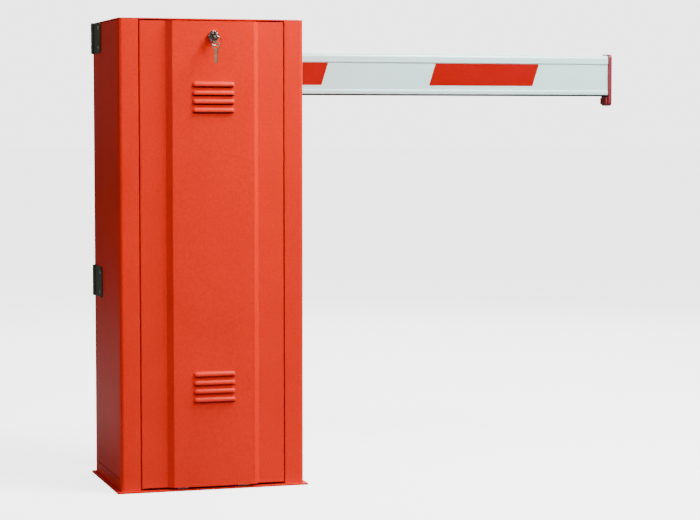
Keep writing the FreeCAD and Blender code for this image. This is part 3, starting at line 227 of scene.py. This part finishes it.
def powder_coat_effect():
    """Sprayed and baked powder: peel, faint cloudiness and pin specks."""
    tree, given, result = effect(
        "powder_coat",
        [("Colour", COLOUR, (1, 1, 1, 1)), ("Peel Scale", FLOAT, 210.0), ("Cloud", FLOAT, 0.08),
         ("Mottle", FLOAT, 0.30), ("Gloss", FLOAT, 0.34)],
        [("Colour", COLOUR), ("Roughness", FLOAT), ("Height", FLOAT)])
    peel = noise(tree, given.outputs["Peel Scale"], 3.0, 0.55)
    fine = noise(tree, 1900.0, 1.0)
    cloud = ramp(tree, noise(tree, 7.0, 3.0), 0.3, 0.7)
    shade = maths(tree, "MULTIPLY_ADD", maths(tree, "SUBTRACT", cloud, 0.5),
                  given.outputs["Cloud"], 1.0)
    mottle = maths(tree, "MULTIPLY", maths(tree, "SUBTRACT", peel, 0.5), given.outputs["Mottle"])
    shade = maths(tree, "ADD", mottle, shade)
    speck = maths(tree, "GREATER_THAN", noise(tree, 620.0, 0.0), 0.76)
    shade = maths(tree, "MULTIPLY_ADD", speck, -0.10, shade)
    tree.links.new(blend_colour(tree, 1.0, given.outputs["Colour"], shade, "MULTIPLY"),
                   result.inputs["Colour"])
    rough = maths(tree, "MULTIPLY_ADD", maths(tree, "SUBTRACT", fine, 0.5), 0.12,
                  given.outputs["Gloss"])
    tree.links.new(rough, result.inputs["Roughness"])
    height = maths(tree, "MULTIPLY_ADD", fine, 0.18, peel)
    tree.links.new(height, result.inputs["Height"])
    return tree


def finish(name, group, values, depth, **shader_values):
    """A material: one effect group feeding a Principled shader, with a bump depth in metres."""
    material = bpy.data.materials.new(name)
    material.use_nodes = True
    tree = material.node_tree
    shader = tree.nodes["Principled BSDF"]
    node = tree.nodes.new("ShaderNodeGroup")
    node.node_tree = group
    for label, value in values.items():
        node.inputs[label].default_value = value
    tree.links.new(node.outputs["Colour"], shader.inputs["Base Color"])
    tree.links.new(node.outputs["Roughness"], shader.inputs["Roughness"])
    bump = tree.nodes.new("ShaderNodeBump")
    bump.inputs["Strength"].default_value = 1.0
    bump.inputs["Distance"].default_value = depth
    tree.links.new(node.outputs["Height"], bump.inputs["Height"])
    tree.links.new(bump.outputs[0], shader.inputs["Normal"])
    for label, value in shader_values.items():
        shader.inputs[label.replace("_", " ")].default_value = value
    return material


powder_coat = powder_coat_effect()
orange = (0.80, 0.015, 0.0008, 1)
cabinet_paint = finish("orange_powder_coat", powder_coat, {"Colour": orange}, 0.00022,
                       Specular_IOR_Level=0.22)


weld_distance = 0.000004
flat_angle = math.radians(0.4)
crease_angle = math.radians(28)


def take_part(node, material, edge, name, body):
    """A piece with a CAD part's shape, its flat faces whole again and every edge broken by a
    small round of width edge; it stands for that part."""
    metal = bmesh.new()
    metal.from_mesh(frame["nodes"][node].data)
    bmesh.ops.remove_doubles(metal, verts=metal.verts, dist=weld_distance)
    bmesh.ops.dissolve_limit(metal, angle_limit=flat_angle, verts=metal.verts,
                             edges=metal.edges)
    for face in metal.faces:
        face.smooth = True
    for side in metal.edges:
        side.smooth = not (len(side.link_faces) == 2 and side.calc_face_angle() > crease_angle)
    mesh = bpy.data.meshes.new(name)
    metal.to_mesh(mesh)
    metal.free()
    mesh.materials.append(material)
    piece = bpy.data.objects.new(name, mesh)
    bpy.context.scene.collection.objects.link(piece)
    if edge > 0:
        round_off = piece.modifiers.new("broken_edges", "BEVEL")
        round_off.width = edge
        round_off.segments = 2
        round_off.limit_method = "ANGLE"
        round_off.angle_limit = crease_angle
        round_off.harden_normals = True
    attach(piece, body)
    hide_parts(node)
    return piece


for sheet in ("front_left_post", "right_wall", "rear_wall", "top_cover"):
    take_part(sheet, cabinet_paint, 0.0008, sheet + "_sheet", "cabinet")
take_part("base_plate", cabinet_paint, 0.0008, "base_plate_flange", "cabinet")
take_part("side_panel", cabinet_paint, 0.0008, "side_panel_sheet", "panel")

# ---- Door: one folded sheet with a raised band and pressed louvres, coated with the cabinet. It
# ---- hooks over two pins at its foot.
take_part("cabinet_door", cabinet_paint, 0.0006, "door_sheet", "door")

# ---- Zinc-plated steel: drive plate, levers, brackets, bolts and the boom holder. The plate is
# ---- bright with soft clouds and a brushed grain from the blank.


def zinc_plate_effect():
    """Bright zinc: brushed grain, cloudy tone and small stains."""
    tree, given, result = effect(
        "zinc_plate",
        [("Colour", COLOUR, (0.6, 0.6, 0.6, 1)), ("Stain", FLOAT, 0.25), ("Gloss", FLOAT, 0.3),
         ("Grain", FLOAT, 1.0)],
        [("Colour", COLOUR), ("Roughness", FLOAT), ("Height", FLOAT)])
    grain = noise(tree, 260.0, 3.0, 0.6, (1, 1, 9))
    cloud = ramp(tree, noise(tree, 34.0, 4.0, 0.6), 0.35, 0.7)
    stain = maths(tree, "MULTIPLY", cloud, given.outputs["Stain"])
    shade = maths(tree, "MULTIPLY_ADD", stain, -0.8, 1.0)
    shade = maths(tree, "MULTIPLY_ADD", maths(tree, "SUBTRACT", grain, 0.5), 0.22, shade)
    tree.links.new(blend_colour(tree, 1.0, given.outputs["Colour"], shade, "MULTIPLY"),
                   result.inputs["Colour"])
    rough = maths(tree, "MULTIPLY_ADD", stain, 0.5, given.outputs["Gloss"])
    rough = maths(tree, "MULTIPLY_ADD", maths(tree, "SUBTRACT", grain, 0.5), 0.2, rough)
    tree.links.new(rough, result.inputs["Roughness"])
    tree.links.new(maths(tree, "MULTIPLY", grain, given.outputs["Grain"]), result.inputs["Height"])
    return tree


zinc_plate = zinc_plate_effect()
bright_zinc = finish("bright_zinc", zinc_plate, {"Colour": (0.56, 0.58, 0.60, 1)}, 0.00003,
                     Metallic=1.0)
for part, body in (("door_pivot_brackets", "cabinet"), ("door_hooks", "door"), ("lock_nut", "door"),
                   ("lock_cam", "lock"), ("sensor_bracket", "cabinet"), ("crank", "crank"),
                   ("tie_rod", "rod"), ("drive_lever", "boom"), ("spring_lever", "boom"),
                   ("spring_eye_bolt", "cabinet"), ("spring_anchor", "cabinet"),
                   ("chassis_plate", "cabinet"), ("chassis_brackets", "cabinet"),
                   ("machine_bolts", "cabinet"), ("hand_crank_knob", "worm"),
                   ("leaf_screws", "panel"), ("boom_holder", "boom"), ("boom_clamp_plate", "boom"),
                   ("boom_clamp_bolts", "boom")):
    take_part(part, bright_zinc, 0.0005, part + "_zinc", body)

# ---- Ground steel and bronze: shafts turned and ground, the worm cut on its shaft, and the wheel
# ---- it drives in bronze.
ground_steel = finish("ground_steel", zinc_plate, {"Colour": (0.45, 0.45, 0.47, 1), "Gloss": 0.22,
                                                   "Stain": 0.1}, 0.00001, Metallic=1.0)
gear_bronze = finish("gear_bronze", zinc_plate, {"Colour": (0.55, 0.34, 0.13, 1), "Gloss": 0.3,
                                                 "Stain": 0.3}, 0.00002, Metallic=1.0)
for part, body in (("main_shaft", "boom"), ("output_shaft", "crank"), ("worm_shaft", "worm"),
                   ("motor_rotor", "worm")):
    take_part(part, ground_steel, 0.0004, part + "_ground", body)
take_part("worm_wheel", gear_bronze, 0.0002, "worm_wheel_bronze", "crank")

# ---- Lock and keys: the round lock, its plug and the split ring in polished chrome, as are the
# ---- barrels of the limit sensors; the two keys in dull nickel.
polished_chrome = finish("polished_chrome", zinc_plate,
                         {"Colour": (0.55, 0.55, 0.56, 1), "Gloss": 0.06, "Stain": 0.05},
                         0.000004, Metallic=1.0)
key_nickel = finish("key_nickel", zinc_plate, {"Colour": (0.24, 0.20, 0.13, 1), "Gloss": 0.2,
                                               "Stain": 0.3}, 0.00001, Metallic=1.0)
for part, body in (("lock_barrel", "door"), ("lock_plug", "lock"), ("key_ring", "ring"),
                   ("limit_sensors", "cabinet")):
    take_part(part, polished_chrome, 0.0003, part + "_chrome", body)
take_part("door_key", key_nickel, 0.0002, "door_key_nickel", "lock")
take_part("spare_key", key_nickel, 0.0002, "spare_key_nickel", "hanging_key")

# ---- Side panel hinges: pressed steel leaves in dark grey-green enamel, one of each pair screwed
# ---- to the panel and the other to the rear wall.
hinge_enamel = finish("hinge_enamel", powder_coat,
                      {"Colour": (0.042, 0.054, 0.036, 1), "Peel Scale": 300.0, "Gloss": 0.42},
                      0.00006, Coat_Weight=0.15)
take_part("panel_leaves", hinge_enamel, 0.0009, "panel_leaves_enamel", "panel")
take_part("frame_leaves", hinge_enamel, 0.0006, "frame_leaves_enamel", "cabinet")

# ---- Boom: extruded aluminium, white gloss coat, with slanted red reflective films, a rubber
# ---- edge below and a moulded crimson end cap.
boom_white = finish("boom_white_coat", powder_coat,
                    {"Colour": (0.63, 0.86, 0.84, 1), "Peel Scale": 330.0, "Cloud": 0.04,
                     "Gloss": 0.26, "Mottle": 0.02}, 0.00003, Coat_Weight=0.4, Coat_Roughness=0.15)
take_part("boom_profile", boom_white, 0.0005, "boom_profile_coated", "boom")


def reflective_film_effect():
    """Prismatic film: small cells sealed by fine pale lines."""
    tree, given, result = effect(
        "reflective_film", [("Colour", COLOUR, (0.7, 0, 0, 1)), ("Cell Scale", FLOAT, 260.0)],
        [("Colour", COLOUR), ("Roughness", FLOAT), ("Height", FLOAT)])
    edge = cells(tree, given.outputs["Cell Scale"], "DISTANCE_TO_EDGE")
    line = maths(tree, "LESS_THAN", edge, 0.06)
    lit = blend_colour(tree, maths(tree, "MULTIPLY", line, 0.06), given.outputs["Colour"],
                       (0.8, 0.10, 0.08, 1))
    cloud = ramp(tree, noise(tree, 14.0, 2.0), 0.3, 0.7)
    shade = maths(tree, "MULTIPLY_ADD", cloud, 0.10, 0.95)
    tree.links.new(blend_colour(tree, 1.0, lit, shade, "MULTIPLY"), result.inputs["Colour"])
    tree.links.new(maths(tree, "MULTIPLY_ADD", line, 0.2, 0.22), result.inputs["Roughness"])
    tree.links.new(line, result.inputs["Height"])
    return tree


red_film = finish("red_reflective_film", reflective_film_effect(),
                  {"Colour": (0.33, 0.0002, 0.0004, 1)}, 0.00003, Specular_IOR_Level=0.08)
take_part("boom_stripes", red_film, 0.0, "boom_stripe_films", "boom")


def moulded_effect():
    """Moulded plastic or rubber: fine spark-eroded grain and faint flow marks."""
    tree, given, result = effect(
        "moulded_grain", [("Colour", COLOUR, (0.1, 0.1, 0.1, 1)), ("Grain Scale", FLOAT, 900.0),
                          ("Gloss", FLOAT, 0.45), ("Flow", FLOAT, 0.08)],
        [("Colour", COLOUR), ("Roughness", FLOAT), ("Height", FLOAT)])
    grain = cells(tree, given.outputs["Grain Scale"])
    flow = noise(tree, 16.0, 3.0, 0.6, (1, 1, 3))
    shade = maths(tree, "MULTIPLY_ADD", maths(tree, "SUBTRACT", flow, 0.5),
                  given.outputs["Flow"], 1.0)
    shade = maths(tree, "MULTIPLY_ADD", maths(tree, "SUBTRACT", grain, 0.4), 0.10, shade)
    tree.links.new(blend_colour(tree, 1.0, given.outputs["Colour"], shade, "MULTIPLY"),
                   result.inputs["Colour"])
    tree.links.new(maths(tree, "MULTIPLY_ADD", grain, 0.12, given.outputs["Gloss"]),
                   result.inputs["Roughness"])
    tree.links.new(grain, result.inputs["Height"])
    return tree


moulded = moulded_effect()
crimson_plastic = finish("crimson_plastic", moulded,
                         {"Colour": (0.20, 0.012, 0.022, 1), "Gloss": 0.34}, 0.00003)
take_part("boom_end_cap", crimson_plastic, 0.0008, "boom_end_cap_moulding", "boom")
black_rubber = finish("black_rubber", moulded, {"Colour": (0.022, 0.022, 0.023, 1), "Gloss": 0.62,
                                                "Grain Scale": 1300.0}, 0.00004)
for part, body in (("boom_edge_rubber", "boom"), ("boom_liner", "boom"),
                   ("stop_buffers", "cabinet"), ("door_gasket", "cabinet")):
    take_part(part, black_rubber, 0.0004, part + "_moulding", body)

# ---- Castings and mouldings inside: enamelled gearbox and bearings, die-cast motor, black fan,
# ---- cams and cable glands, and the grey control case with its lid.
machine_enamel = finish("machine_enamel", powder_coat,
                        {"Colour": (0.16, 0.18, 0.20, 1), "Peel Scale": 240.0, "Gloss": 0.4,
                         "Mottle": 0.1}, 0.0002)
for part in ("shaft_bearings", "gearbox_housing", "gearbox_cover"):
    take_part(part, machine_enamel, 0.0010, part + "_casting", "cabinet")
die_cast = finish("die_cast_aluminium", moulded,
                  {"Colour": (0.50, 0.51, 0.52, 1), "Grain Scale": 700.0, "Gloss": 0.36},
                  0.00006, Metallic=1.0)
take_part("motor_housing", die_cast, 0.0004, "motor_housing_casting", "cabinet")
black_plastic = finish("black_plastic", moulded, {"Colour": (0.020, 0.020, 0.022, 1)}, 0.00003)
for part, body in (("motor_fan", "worm"), ("fan_cover", "cabinet"), ("limit_cams", "boom"),
                   ("cable_glands", "cabinet")):
    take_part(part, black_plastic, 0.0003, part + "_black", body)
grey_plastic = finish("grey_plastic", moulded, {"Colour": (0.44, 0.46, 0.47, 1), "Gloss": 0.42},
                      0.00004)
take_part("control_case", grey_plastic, 0.0005, "control_case_moulding", "cabinet")
take_part("case_lid", grey_plastic, 0.0005, "case_lid_moulding", "lid")

# ---- Circuit board: green solder mask over tinned tracks, a lighter green terminal strip, blue
# ---- relays, a transformer with a taped winding and three sleeved capacitors.


def solder_mask_effect():
    """Tracks in rows under a green mask, with a slight weave from the glass cloth."""
    tree, given, result = effect("solder_mask", [("Colour", COLOUR, (0.01, 0.1, 0.03, 1)),
                                                 ("Track Scale", FLOAT, 60.0)],
                                 [("Colour", COLOUR), ("Roughness", FLOAT), ("Height", FLOAT)])
    place = tree.nodes.new("ShaderNodeTexCoord")
    upright = tree.nodes.new("ShaderNodeMapping")
    upright.inputs["Rotation"].default_value = (math.radians(90), 0, 0)
    rows = tree.nodes.new("ShaderNodeTexBrick")
    rows.inputs["Color1"].default_value = (0, 0, 0, 1)
    rows.inputs["Color2"].default_value = (0, 0, 0, 1)
    rows.inputs["Mortar"].default_value = (1, 1, 1, 1)
    rows.inputs["Mortar Size"].default_value = 0.05
    tree.links.new(place.outputs["Object"], upright.inputs["Vector"])
    tree.links.new(upright.outputs[0], rows.inputs["Vector"])
    tree.links.new(given.outputs["Track Scale"], rows.inputs["Scale"])
    weave = noise(tree, 1800.0, 1.0)
    base = blend_colour(tree, maths(tree, "MULTIPLY", rows.outputs["Color"], 0.55),
                        given.outputs["Colour"], (0.09, 0.33, 0.14, 1))
    shade = maths(tree, "MULTIPLY_ADD", maths(tree, "SUBTRACT", weave, 0.5), 0.2, 1.0)
    tree.links.new(blend_colour(tree, 1.0, base, shade, "MULTIPLY"), result.inputs["Colour"])
    tree.links.new(maths(tree, "MULTIPLY_ADD", weave, 0.15, 0.2), result.inputs["Roughness"])
    tree.links.new(rows.outputs["Color"], result.inputs["Height"])
    return tree


board_green = finish("board_green", solder_mask_effect(), {"Colour": (0.008, 0.085, 0.026, 1)},
                     0.00004, Coat_Weight=0.3)
take_part("circuit_board", board_green, 0.0001, "circuit_board_green", "cabinet")
terminal_green = finish("terminal_green", moulded, {"Colour": (0.03, 0.30, 0.10, 1), "Gloss": 0.4},
                        0.00002)
take_part("terminal_block", terminal_green, 0.0002, "terminal_block_green",
          "cabinet")
relay_blue = finish("relay_blue", moulded, {"Colour": (0.015, 0.09, 0.34, 1), "Gloss": 0.3},
                    0.00002)
winding_tape = finish("winding_tape", moulded, {"Colour": (0.60, 0.42, 0.05, 1), "Gloss": 0.35},
                      0.00003)
core_steel = finish("core_laminations", zinc_plate,
                    {"Colour": (0.20, 0.20, 0.21, 1), "Grain": 3.0}, 0.00008, Metallic=0.8)
sleeve_blue = finish("capacitor_sleeve", moulded,
                     {"Colour": (0.008, 0.014, 0.06, 1), "Gloss": 0.25}, 0.00001)
components = take_part("board_components", relay_blue, 0.0003, "board_components_mounted",
                       "cabinet")
for coat in (core_steel, winding_tape, sleeve_blue):
    components.data.materials.append(coat)
core_index, tape_index, sleeve_index = 1, 2, 3
relay_height, core_reach, winding_depth = 0.030, 0.066, 0.011
components_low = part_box("board_components")[0]
relay_top = components_low.z + relay_height
core_right = components_low.x + core_reach
winding_front = components_low.y + winding_depth
for face in components.data.polygons:
    if face.center.z > relay_top:
        if face.center.x > core_right:
            face.material_index = sleeve_index
        elif face.center.y < winding_front:
            face.material_index = tape_index
        else:
            face.material_index = core_index

# ---- Balance spring: oiled spring wire wound cold, a hook bent from each end. The lower hook
# ---- holds the eye bolt and the upper one the spring lever's pin. The real spring shortens as the
# boom
# ---- rises; this coil is built at one length and nothing here makes it shorten.
spring_low, spring_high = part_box("balance_spring")
spring_x = (spring_low.x + spring_high.x) / 2
spring_y = (spring_low.y + spring_high.y) / 2
spring_joint = next(joint for joint in frame["joints"] if joint["name"] == "spring_swing")
wire_radius = 0.003
coil_radius = (spring_high.x - spring_low.x) / 2 - wire_radius
spring_foot = spring_joint["pos_m"][2]
boom_joint = next(joint for joint in frame["joints"] if joint["name"] == "boom_lift")
spring_top = boom_joint["pos_m"][2]
foot_eye, top_eye = 0.009, 0.012
stem_length, stem_lead = 0.022, 0.008
coil_start = spring_foot + foot_eye + stem_length
coil_end = spring_top - top_eye - stem_length
coil_turns = 62
ring_steps = 24
wire_sides = 10
hook_start, hook_sweep, hook_steps = 120, 330, 18


def spring_line():
    """Centre line of the wire: lower hook, coil, upper hook."""
    line = []

    def hook(centre_z, upward, hook_radius):
        """Points of a hook's loop about an axis along Y, from its open end to the stem."""
        points = []
        for step in range(hook_steps + 1):
            turn = math.radians(hook_start + hook_sweep * step / hook_steps)
            points.append(Vector((spring_x + hook_radius * math.cos(turn), spring_y,
                                  centre_z + upward * hook_radius * math.sin(turn))))
        return points

    lower = hook(spring_foot, 1, foot_eye)
    lower.append(Vector((spring_x, spring_y, coil_start - stem_lead)))
    line += lower
    total = coil_turns * ring_steps
    for step in range(total + 1):
        share = step / total
        turn = 2 * math.pi * coil_turns * share
        reach = coil_radius * min(1.0, step / ring_steps, (total - step) / ring_steps)
        line.append(Vector((spring_x + reach * math.cos(turn),
                            spring_y + reach * math.sin(turn),
                            coil_start + (coil_end - coil_start) * share)))
    upper = hook(spring_top, -1, top_eye)
    upper.append(Vector((spring_x, spring_y, coil_end + stem_lead)))
    line += upper[::-1]
    return line


def tube(name, line, radius, sides):
    """Round bar along a line of points, closed at both ends."""
    mesh = bmesh.new()
    rings = []
    normal = Vector((0, 1, 0))
    for index, point in enumerate(line):
        ahead = line[min(index + 1, len(line) - 1)] - line[max(index - 1, 0)]
        ahead.normalize()
        normal = (normal - ahead * normal.dot(ahead)).normalized()
        across = ahead.cross(normal)
        turns = (2 * math.pi * side / sides for side in range(sides))
        rings.append([mesh.verts.new(point + radius * (normal * math.cos(turn)
                                                       + across * math.sin(turn)))
                      for turn in turns])
    for lower, upper in zip(rings, rings[1:]):
        for side in range(sides):
            after = (side + 1) % sides
            mesh.faces.new((lower[side], lower[after], upper[after], upper[side]))
    mesh.faces.new(rings[0][::-1])
    mesh.faces.new(rings[-1])
    for face in mesh.faces:
        face.smooth = len(face.verts) == 4
    bmesh.ops.recalc_face_normals(mesh, faces=mesh.faces)
    data = bpy.data.meshes.new(name)
    mesh.to_mesh(data)
    mesh.free()
    piece = bpy.data.objects.new(name, data)
    bpy.context.scene.collection.objects.link(piece)
    return piece


oiled_wire = finish("oiled_spring_wire", zinc_plate,
                    {"Colour": (0.16, 0.16, 0.17, 1), "Gloss": 0.3}, 0.00002, Metallic=1.0)
spring = tube("balance_spring_coil", spring_line(), wire_radius, wire_sides)
spring.data.materials.append(oiled_wire)
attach(spring, "spring")
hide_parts("balance_spring")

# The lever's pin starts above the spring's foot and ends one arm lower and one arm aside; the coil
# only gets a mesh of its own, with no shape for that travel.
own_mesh(spring)
